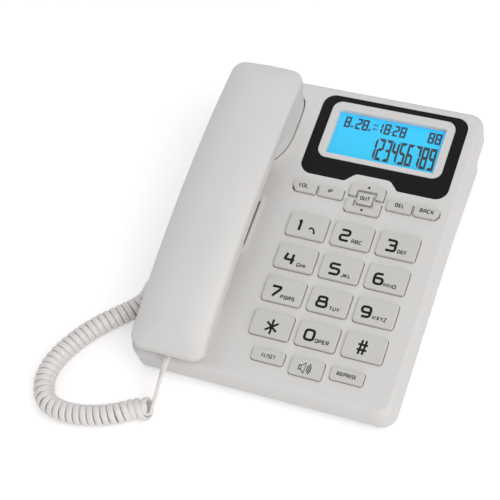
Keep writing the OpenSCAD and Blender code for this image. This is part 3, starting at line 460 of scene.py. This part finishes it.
def moved_in(outline, d):
    """The outline drawn in by d."""
    out = []
    n = len(outline)
    for i in range(n):
        p, a, b = Vector(outline[i]), Vector(outline[i - 1]), Vector(outline[(i + 1) % n])
        if (p - a).length < NO_LENGTH:
            a = Vector(outline[i - 2])
        if (b - p).length < NO_LENGTH:
            b = Vector(outline[(i + 2) % n])
        u, v = (p - a).normalized(), (b - p).normalized()
        m = Vector((-(u.y + v.y), u.x + v.x))
        m.normalize()
        c = max(LEAST_COSINE, m.dot(Vector((-u.y, u.x))))
        out.append(tuple(p + m * (d / c)))
    return out


def key_mesh(name, outline, edge=0.75):
    """A keycap: straight walls, an edge broken by a quarter round, and a flat top."""
    rings = [(0.0, KEY_FOOT), (0.0, KEY_RISE - EDGE_DROP)]
    for i in range(1, EDGE_STEPS + 1):
        a = math.radians(90 * i / EDGE_STEPS)
        rings.append((edge * (1 - math.cos(a)), KEY_RISE - EDGE_DROP * (1 - math.sin(a))))
    rings.append((edge + TOP_INSET, KEY_RISE))
    verts = []
    for inset, z in rings:
        ring = moved_in(outline, inset) if inset else outline
        verts += [panel(p[0], p[1], z) for p in ring]
    ob = mesh_object(name + "_cap", verts, bands(len(rings), len(outline)), "key_plastic", smooth=50)
    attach(ob, name + "_body")
    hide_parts(name)


def mirrored(corners, radii, side, flip):
    """The same outline for the other side, still counter-clockwise."""
    return (corners, radii) if side > 0 else ([flip(p) for p in reversed(corners)], radii[::-1])


def end_round(x, side):
    """A small key at the row's end, its outer side bulging; side is 1 on the right and -1 on the left."""
    w, l = SMALL_W / 2, SMALL_L / 2
    corners = [(-w, -l), (w - 2.6, -l), (w - 0.1, -l * 0.1), (w - 0.3, l), (-w, l)]
    corners, radii = mirrored(corners, [1.1, 2.0, 2.2, 1.6, 1.1], side, lambda p: (-p[0], p[1]))
    return [(x + a, SMALL_Y + b) for a, b in filleted(corners, radii)]


def bracket(side):
    """The upper (1) or lower (-1) arrow key, which wraps half round the middle key."""
    w, l, hw, hl, g = ARROW_W / 2, ARROW_L / 2, ARROW_HOLE_W / 2, ARROW_HOLE_L / 2, ARROW_SPLIT / 2
    corners = [(w, g), (w, l), (-w, l), (-w, g), (-hw, g), (-hw, hl), (hw, hl), (hw, g)]
    radii = [1.1, 2.4, 2.4, 1.1, 1.1, 0.7, 0.7, 1.1]
    corners, radii = mirrored(corners, radii, side, lambda p: (p[0], -p[1]))
    return [(AXIS_X + a, SMALL_Y + b) for a, b in filleted(corners, radii)]


DIAL_KEYS = [f"key_{n}" for n in range(1, 10)] + ["key_star", "key_0", "key_hash"]
for i, key_name in enumerate(DIAL_KEYS):
    key_x, key_y = AXIS_X + (i % 3 - 1) * COL_PITCH, ROW_1_Y - (i // 3) * ROW_PITCH
    key_mesh(key_name, rounded(KEY_W, KEY_L, KEY_CORNER, key_x, key_y))
inner_x = SMALL_IN + SMALL_W / 2
outer_x = inner_x + SMALL_W + SMALL_GAP
low_top = LOW_Y + LOW_RISE
key_mesh("key_vol", end_round(AXIS_X - outer_x, -1), SMALL_EDGE)
key_mesh("key_ip", rounded(SMALL_W, SMALL_L, SMALL_CORNER, AXIS_X - inner_x, SMALL_Y), SMALL_EDGE)
key_mesh("key_del", rounded(SMALL_W, SMALL_L, SMALL_CORNER, AXIS_X + inner_x, SMALL_Y), SMALL_EDGE)
key_mesh("key_back", end_round(AXIS_X + outer_x, 1), SMALL_EDGE)
key_mesh("key_up", bracket(1), SMALL_EDGE)
key_mesh("key_down", bracket(-1), SMALL_EDGE)
key_mesh("key_out", rounded(OUT_W, OUT_L, OUT_CORNER, AXIS_X, SMALL_Y), OUT_EDGE)
key_mesh("key_flash_set", rounded(LOW_W, LOW_L, LOW_CORNER, AXIS_X - LOW_STEP, low_top), SMALL_EDGE)
key_mesh("key_speaker", rounded(TALK_W, TALK_L, LOW_CORNER, AXIS_X, LOW_Y), SMALL_EDGE)
key_mesh("key_redial_pause", rounded(LOW_W, LOW_L, LOW_CORNER, AXIS_X + LOW_STEP, low_top), SMALL_EDGE)

# ---------------------------------------------------------------- plain generic lettering drawn as strokes
# each glyph is a list of lines in a box from 0, 0 to 1, 1, and whether each is closed
BOX = ([(0, 0), (1, 0), (1, 1), (0, 1)], True)
GLYPHS = {
    "0": [BOX],
    "1": [([(0.0, 0.8), (0.5, 1.0), (0.5, 0)], False)],
    "2": [([(0, 0.98), (1, 0.98), (1, 0.5), (0, 0.5), (0, 0), (1, 0)], False)],
    "3": [([(0, 0.98), (1, 0.98), (1, 0.52), (0.3, 0.52)], False),
          ([(0.9, 0.52), (1, 0.48), (1, 0), (0, 0)], False)],
    "4": [([(0.16, 1), (0, 0.55), (0, 0.4), (1, 0.4)], False), ([(0.78, 0.95), (0.78, 0)], False)],
    "5": [([(0.98, 1), (0, 1), (0, 0.55), (1, 0.55), (1, 0), (0, 0)], False)],
    "6": [([(0.92, 1), (0, 1), (0, 0), (1, 0), (1, 0.56), (0.05, 0.56)], False)],
    "7": [([(0, 1), (1, 1), (0.95, 0.8), (0.28, 0)], False)],
    "8": [([(0, 0), (1, 0), (1, 0.54), (0, 0.54)], True),
          ([(0.08, 0.54), (0.92, 0.54), (0.92, 1), (0.08, 1)], True)],
    "9": [([(0.1, 0), (1, 0), (1, 1), (0, 1), (0, 0.44), (0.95, 0.44)], False)],
    "A": [([(0, 0), (0.12, 1), (0.88, 1), (1, 0)], False), ([(0.06, 0.36), (0.94, 0.36)], False)],
    "B": [([(0, 0), (1, 0), (1, 0.52), (0, 0.52)], True),
          ([(0, 0.5), (0, 1), (0.92, 1), (0.92, 0.52)], False)],
    "C": [([(1, 1), (0, 1), (0, 0), (1, 0)], False)],
    "D": [BOX],
    "E": [([(1, 1), (0, 1), (0, 0), (1, 0)], False), ([(0, 0.5), (0.9, 0.5)], False)],
    "F": [([(1, 1), (0, 1), (0, 0)], False), ([(0, 0.48), (0.85, 0.48)], False)],
    "G": [([(1, 1), (0, 1), (0, 0), (1, 0), (1, 0.48), (0.5, 0.48)], False)],
    "H": [([(0, 0), (0, 1)], False), ([(1, 0), (1, 1)], False), ([(0, 0.5), (1, 0.5)], False)],
    "I": [([(0, 0), (0, 1)], False)],
    "J": [([(1, 1), (1, 0), (0, 0), (0, 0.25)], False)],
    "K": [([(0, 0), (0, 1)], False), ([(1, 1), (0.3, 0.5), (1, 0)], False), ([(0, 0.5), (0.3, 0.5)], False)],
    "L": [([(0, 1), (0, 0), (1, 0)], False)],
    "M": [([(0, 0), (0.05, 1), (0.5, 0.3), (0.95, 1), (1, 0)], False)],
    "N": [([(0, 0), (0, 1), (1, 0), (1, 1)], False)],
    "O": [BOX],
    "P": [([(0, 0), (0, 1), (1, 1), (1, 0.42), (0, 0.42)], False)],
    "Q": [BOX, ([(0.62, 0.3), (1.02, -0.12)], False)],
    "R": [([(0, 0), (0, 1), (1, 1), (1, 0.42), (0, 0.42)], False), ([(0.55, 0.42), (1, 0)], False)],
    "S": [([(1, 1), (0, 1), (0, 0.52), (1, 0.52), (1, 0), (0, 0)], False)],
    "T": [([(0, 1), (1, 1)], False), ([(0.5, 1), (0.5, 0)], False)],
    "U": [([(0, 1), (0, 0), (1, 0), (1, 1)], False)],
    "V": [([(0, 1), (0.5, 0), (1, 1)], False)],
    "W": [([(0, 1), (0.2, 0), (0.5, 0.75), (0.8, 0), (1, 1)], False)],
    "X": [([(0, 0), (1, 1)], False), ([(0, 1), (1, 0)], False)],
    "Y": [([(0, 1), (0.5, 0.45), (1, 1)], False), ([(0.5, 0.45), (0.5, 0)], False)],
    "Z": [([(0, 1), (1, 1), (0, 0), (1, 0)], False)],
    "/": [([(0, -0.05), (1, 1.05)], False)],
    "*": [([(0.5, 0), (0.5, 1)], False), ([(0.02, 0.22), (0.98, 0.78)], False),
          ([(0.02, 0.78), (0.98, 0.22)], False)],
    "#": [([(0.22, 0), (0.36, 1)], False), ([(0.64, 0), (0.78, 1)], False),
          ([(0, 0.32), (1, 0.32)], False), ([(0, 0.68), (1, 0.68)], False)],
}
NARROW = {"I": 0.0, "1": 0.5, "/": 0.55, "J": 0.8, "L": 0.85, "T": 0.95, "F": 0.85, "W": 1.35, "M": 1.2}
# signs whose corners stay sharp, and how much of the usual rounding the letter A gets
SHARP_SIGNS = "MNVWXYZK*#/"
A_CORNER = 0.8
BEND_STEPS, CORNER_REACH = 4, 0.48
# how far ink stands over its surface: plain, over other ink, and each stroke over the one before
INK_LIFT, TOP_INK_LIFT, STROKE_LIFT = 0.03, 0.034, 0.004


def rounded_line(points, closed, r):
    """A line through the points with its corners rounded."""
    pts = [Vector(p) for p in points]
    n = len(pts)
    out = []
    for i, p in enumerate(pts):
        if not closed and i in (0, n - 1):
            out.append(p)
            continue
        a, b = pts[i - 1], pts[(i + 1) % n]
        cut = min(r, (a - p).length * CORNER_REACH, (b - p).length * CORNER_REACH)
        s, e = p + (a - p).normalized() * cut, p + (b - p).normalized() * cut
        for k in range(BEND_STEPS + 1):
            t = k / BEND_STEPS
            out.append((s * (1 - t) ** 2) + (p * 2 * t * (1 - t)) + (e * t * t))
    return out


def ribbon(line, closed, width, verts, faces, z):
    """A flat band along a line, added to verts and faces in panel millimetres."""
    n = len(line)
    first = len(verts)
    for i, p in enumerate(line):
        if closed:
            a, b = line[i - 1], line[(i + 1) % n]
        else:
            a, b = line[max(i - 1, 0)], line[min(i + 1, n - 1)]
        u = (p - a).normalized() if (p - a).length > NO_LENGTH else (b - p).normalized()
        v = (b - p).normalized() if (b - p).length > NO_LENGTH else u
        m = Vector((-(u.y + v.y), u.x + v.x))
        m = m.normalized() if m.length > NO_LENGTH else Vector((-u.y, u.x))
        c = max(LEAST_RIBBON_COSINE, m.dot(Vector((-u.y, u.x))))
        verts.append(panel(*(p + m * (width / 2 / c)), z))
        verts.append(panel(*(p - m * (width / 2 / c)), z))
    last = n if closed else n - 1
    for i in range(last):
        j = (i + 1) % n
        faces.append((first + 2 * i, first + 2 * i + 1, first + 2 * j + 1, first + 2 * j))


def legend(name, text, x, y, height, width, stroke, body, gap=0.3, corner=0.22, z=KEY_RISE + INK_LIFT):
    """One word, its lower left corner at x, y on the panel; width is that of a plain letter."""
    verts, faces = [], []
    half, h = stroke / 2, height - stroke
    strokes = 0
    for letter in text:
        w = max(width * NARROW.get(letter, 1.0) - stroke, 0)
        r = 0.0 if letter in SHARP_SIGNS else corner * height
        if letter == "A":
            r *= A_CORNER
        for pts, closed in GLYPHS[letter]:
            line = [Vector((x + half + px * w, y + half + py * h)) for px, py in pts]
            line = rounded_line(line, closed, r) if r else line
            ribbon(line, closed, stroke, verts, faces, z + STROKE_LIFT * strokes)
            strokes += 1
        x += w + stroke + gap
    ob = mesh_object(name, verts, faces, "ink", body)
    return ob


def patch(name, loops, body, mat="ink", z=KEY_RISE + INK_LIFT):
    """Flat filled shapes on the panel."""
    verts, faces = [], []
    for loop in loops:
        first = len(verts)
        verts += [panel(a, b, z) for a, b in loop]
        faces.append(tuple(range(first, len(verts))))
    return mesh_object(name, verts, faces, mat, body)


# sign or word, key, lower left corner, height, width of a plain letter
DIGITS = [
    ("1", "key_1", -8.0, -3.5, 8.8, 7.6), ("2", "key_2", 19.5, -3.6, 8.8, 7.1),
    ("3", "key_3", 48.8, -3.6, 8.8, 7.3), ("4", "key_4", -8.8, -27.0, 8.6, 7.6),
    ("5", "key_5", 20.1, -27.0, 8.5, 7.6), ("6", "key_6", 48.1, -26.8, 8.4, 6.9),
    ("7", "key_7", -10.0, -50.0, 8.2, 7.2), ("8", "key_8", 19.4, -49.5, 8.0, 7.7),
    ("9", "key_9", 47.1, -49.2, 8.1, 7.0), ("*", "key_star", -5.5, -74.4, 11.2, 8.8),
    ("0", "key_0", 19.1, -72.0, 8.0, 7.1), ("#", "key_hash", 51.7, -73.0, 10.6, 7.2),
]
WORDS = [
    ("ABC", "key_2", 27.8, -3.5, 2.7, 2.1), ("DEF", "key_3", 56.9, -3.5, 2.7, 1.9),
    ("GHI", "key_4", 0.2, -27.0, 2.7, 2.2), ("JKL", "key_5", 28.9, -27.0, 2.7, 2.0),
    ("MNO", "key_6", 55.2, -26.9, 2.7, 2.3), ("PQRS", "key_7", -2.7, -49.8, 2.6, 2.1),
    ("TUV", "key_8", 28.4, -49.7, 2.7, 2.05), ("WXYZ", "key_9", 54.8, -49.0, 2.7, 1.9),
    ("OPER", "key_0", 26.8, -72.0, 2.7, 1.95), ("FL/SET", "key_flash_set", -1.0, -88.6, 2.6, 1.35),
    ("RD/PAUSE", "key_redial_pause", 45.6, -88.2, 2.6, 1.3), ("VOL", "key_vol", -16.4, 27.0, 2.9, 2.1),
    ("IP", "key_ip", 3.2, 27.0, 2.7, 2.0), ("OUT", "key_out", 24.2, 26.8, 2.9, 1.9),
    ("DEL", "key_del", 46.6, 27.0, 2.9, 1.85), ("BACK", "key_back", 62.2, 27.0, 2.9, 2.05),
]
# stroke thicknesses, and the letter width from which a word is a narrow one
DIGIT_STROKE, SIGN_STROKE, WORD_STROKE, NARROW_STROKE = 1.65, 1.35, 0.55, 0.45
NARROW_WORD = 1.4
for sign, key_name, *place in DIGITS:
    thick = SIGN_STROKE if sign in "*#" else DIGIT_STROKE
    legend(key_name + "_digit", sign, *place, thick, key_name + "_body", corner=0.24)
for word, key_name, *place in WORDS:
    thick = WORD_STROKE if place[-1] > NARROW_WORD else NARROW_STROKE
    legend(key_name + "_letters", word, *place, thick, key_name + "_body", corner=0.2)
patch("key_up_arrow", [[(AXIS_X - 0.9, 35.4), (AXIS_X + 1.5, 35.4), (AXIS_X + 0.3, 37.3)]], "key_up_body")
patch("key_down_arrow", [[(AXIS_X + 0.3, 18.7), (AXIS_X + 1.5, 20.6), (AXIS_X - 0.9, 20.6)]], "key_down_body")


def handset_sign():
    """A small lying handset on the first key: an arched bar with a block at each end."""
    bar = [Vector(p) for p in ((0.2, -0.4), (0.8, 0.5), (1.9, 0.5), (3.1, -0.6), (3.9, -2.1))]
    blocks = [[(-0.3, -0.1), (0.4, -1.0), (1.2, -0.4), (0.6, 0.5)],
              [(2.9, -2.6), (4.1, -3.6), (4.6, -2.5), (3.6, -1.6)]]
    verts, faces = [], []
    ribbon(rounded_line(bar, False, 0.9), False, 1.05, verts, faces, KEY_RISE + INK_LIFT)
    for loop in blocks:
        first = len(verts)
        verts += [panel(a, b, KEY_RISE + TOP_INK_LIFT) for a, b in loop]
        faces.append(tuple(range(first, first + 4)))
    mesh_object("key_1_handset_sign", verts, faces, "ink", "key_1_body")


def speaker_sign(x=25.2, y=-88.9):
    """A loudspeaker with three sound waves on the middle low key."""
    verts, faces = [], []
    horn = [(-2.3, -1.3), (-1.0, -1.3), (1.3, -3.4), (1.3, 3.4), (-1.0, 1.3), (-2.3, 1.3)]
    neck = [(-1.0, -1.3), (-1.0, 1.3)]
    ribbon([Vector((x + a, y + b)) for a, b in horn], True, 0.55, verts, faces, KEY_RISE + INK_LIFT)
    ribbon([Vector((x + a, y + b)) for a, b in neck], False, 0.36, verts, faces, KEY_RISE + TOP_INK_LIFT)
    for r in (2.6, 4.2, 5.8):
        arc = [Vector((x + 1.2 + r * math.cos(a) - r * 0.35, y + r * 0.92 * math.sin(a)))
               for a in [math.radians(-38 + 76 * i / 10) for i in range(11)]]
        ribbon(arc, False, 0.6, verts, faces, KEY_RISE + INK_LIFT)
    mesh_object("key_speaker_sign", verts, faces, "ink", "key_speaker_body")


handset_sign()
speaker_sign()

# ---------------------------------------------------------------- display: plain seven segment digits
SEGMENTS = {"0": "abcdef", "1": "bc", "2": "abged", "3": "abgcd", "4": "fgbc", "5": "afgcd", "6": "afgedc",
            "7": "abc", "8": "abcdefg", "9": "abcdfg"}
SEGMENT_GAP = 0.06
# the upper row's digits with their left edges; then place, size and bars of both rows, in panel millimetres
DATE_ROW = [("8", -3.5), ("2", 4.0), ("8", 8.4), ("1", 17.9), ("8", 23.0), ("2", 28.8), ("8", 33.4),
            ("8", 51.9), ("8", 56.4)]
DATE_Y, DATE_W, DATE_H, DATE_LYING, DATE_STANDING = 78.6, 4.0, 8.1, 1.35, 1.2
NUMBER_X, NUMBER_STEP, NUMBER_LEAN = 18.1, 4.8, -0.035
NUMBER_Y, NUMBER_W, NUMBER_H, NUMBER_LYING, NUMBER_STANDING = 59.2, 4.25, 16.2, 2.2, 1.35
COLON_X, COLON_YS, COLON_SIZE = 27.4, (80.6, 84.0), 0.7
# name, word, lower left corner, height, width of a letter, stroke
SMALL_WORDS = [("month", "M", 1.0, 78.8, 1.9, 1.7, 0.55), ("day", "D", 12.9, 78.8, 1.9, 1.7, 0.55),
               ("am", "AM", 15.6, 83.3, 1.5, 1.25, 0.45), ("pm", "PM", 15.6, 80.3, 1.5, 1.25, 0.45)]


def seven(digit, x, y, w, h, bar_h, bar_v, lean=0.0):
    """One digit's segments as closed loops; bar_h and bar_v are how thick lying and standing bars are."""
    g, b = SEGMENT_GAP, bar_h / 2
    mid, middle, top = y + h / 2, x + w / 2, y + h
    lying = [(x + bar_v + g, top - bar_h), (x + w - bar_v - g, top - bar_h), (x + w - g, top), (x + g, top)]
    standing = [(x, mid + g), (x + bar_v / 2, mid + g), (x + bar_v, mid + b + g),
                (x + bar_v, top - bar_h - g), (x, top - g)]
    centre = [(x + bar_v / 2, mid), (x + bar_v, mid - b), (x + w - bar_v, mid - b),
              (x + w - bar_v / 2, mid), (x + w - bar_v, mid + b), (x + bar_v, mid + b)]

    def over(loop):
        return [(a, 2 * mid - c) for a, c in reversed(loop)]

    def across(loop):
        return [(2 * middle - a, c) for a, c in reversed(loop)]

    shapes = {"a": lying, "d": over(lying), "g": centre, "f": standing, "b": across(standing),
              "e": over(standing), "c": over(across(standing))}
    return [[(a + lean * (c - y), c) for a, c in shapes[segment]] for segment in SEGMENTS[digit]]


def display_figures():
    """The date and time with two more digits above, the long number below, and the four small words."""
    top = LCD_Z + INK_LIFT
    loops = []
    for digit, x in DATE_ROW:
        loops += seven(digit, x, DATE_Y, DATE_W, DATE_H, DATE_LYING, DATE_STANDING)
    for y in COLON_YS:
        right, high = COLON_X + COLON_SIZE, y + COLON_SIZE
        loops.append([(COLON_X, y), (right, y), (right, high), (COLON_X, high)])
    for k, digit in enumerate("123456789"):
        x = NUMBER_X + NUMBER_STEP * k
        loops += seven(digit, x, NUMBER_Y, NUMBER_W, NUMBER_H, NUMBER_LYING, NUMBER_STANDING, NUMBER_LEAN)
    patch("display_figures", loops, "base", mat="lcd_ink", z=top)
    for name, word, *place, stroke in SMALL_WORDS:
        ob = legend("display_" + name, word, *place, stroke, "base", gap=0.2, z=top)
        ob.data.materials[0] = MATS["lcd_ink"]


display_figures()

# ---------------------------------------------------------------- floor, background and lamps
FLOOR_HALF, FLOOR_Z, FLOOR_GLOW, WORLD_LIGHT = 3, -0.0002, 0.42, 0.48  # the first two in metres
WHITE = (1, 1, 1, 1)


def camera_or_gloss(tree):
    """1 for camera and glossy rays and 0 for the rest: the background is white, and the light stays plain."""
    path = tree.nodes.new("ShaderNodeLightPath")
    seen = tree.nodes.new("ShaderNodeMath")
    seen.operation = "MAXIMUM"
    tree.links.new(path.outputs["Is Camera Ray"], seen.inputs[0])
    tree.links.new(path.outputs["Is Glossy Ray"], seen.inputs[1])
    return seen.outputs[0]


def floor():
    """A pale floor that keeps the shadow; its own light shows only in the picture and in reflections."""
    me = bpy.data.meshes.new("floor")
    corners = [(-1, -1), (1, -1), (1, 1), (-1, 1)]
    me.from_pydata([(FLOOR_HALF * a, FLOOR_HALF * b, FLOOR_Z) for a, b in corners], [], [(0, 1, 2, 3)])
    ob = bpy.data.objects.new("floor", me)
    bpy.context.scene.collection.objects.link(ob)
    mat = bpy.data.materials.new("floor")
    mat.use_nodes = True
    tree = mat.node_tree
    bsdf = tree.nodes["Principled BSDF"]
    bsdf.inputs["Base Color"].default_value = (0.8, 0.8, 0.8, 1)
    bsdf.inputs["Roughness"].default_value = 0.9
    bsdf.inputs["Specular IOR Level"].default_value = 0.1
    bsdf.inputs["Emission Color"].default_value = WHITE
    strength = tree.nodes.new("ShaderNodeMath")
    strength.operation = "MULTIPLY"
    strength.inputs[1].default_value = FLOOR_GLOW
    tree.links.new(camera_or_gloss(tree), strength.inputs[0])
    tree.links.new(strength.outputs[0], bsdf.inputs["Emission Strength"])
    me.materials.append(mat)


def background():
    """White where it is seen or reflected, and an even weaker light elsewhere."""
    world = bpy.data.worlds.new("studio")
    bpy.context.scene.world = world
    world.use_nodes = True
    tree = world.node_tree
    back = tree.nodes["Background"]
    back.inputs["Color"].default_value = WHITE
    level = tree.nodes.new("ShaderNodeMapRange")
    level.inputs["To Min"].default_value = WORLD_LIGHT
    level.inputs["To Max"].default_value = 1.0
    tree.links.new(camera_or_gloss(tree), level.inputs["Value"])
    tree.links.new(level.outputs["Result"], back.inputs["Strength"])


LIT = Vector((0, 0, 0.03))


def lamp(name, at, size, power, colour):
    """A round area lamp that points at the phone; power in watts, size and place in metres."""
    data = bpy.data.lights.new(name, "AREA")
    data.shape = "DISK"
    data.size = size
    data.energy = power
    data.color = colour
    ob = bpy.data.objects.new(name, data)
    ob.location = at
    ob.rotation_euler = (LIT - Vector(at)).to_track_quat("-Z", "Y").to_euler()
    bpy.context.scene.collection.objects.link(ob)


floor()
background()
lamp("key_light", (0.9, -0.35, 1.5), 1.1, 10.0, (1.0, 0.975, 0.955))
lamp("front_light", (0.75, -1.15, 0.35), 0.9, 4.6, (1.0, 0.965, 0.94))
lamp("back_light", (-0.5, 1.1, 1.2), 1.2, 3.0, (0.96, 0.98, 1.0))

scene = bpy.context.scene
scene.view_settings.view_transform = "Standard"
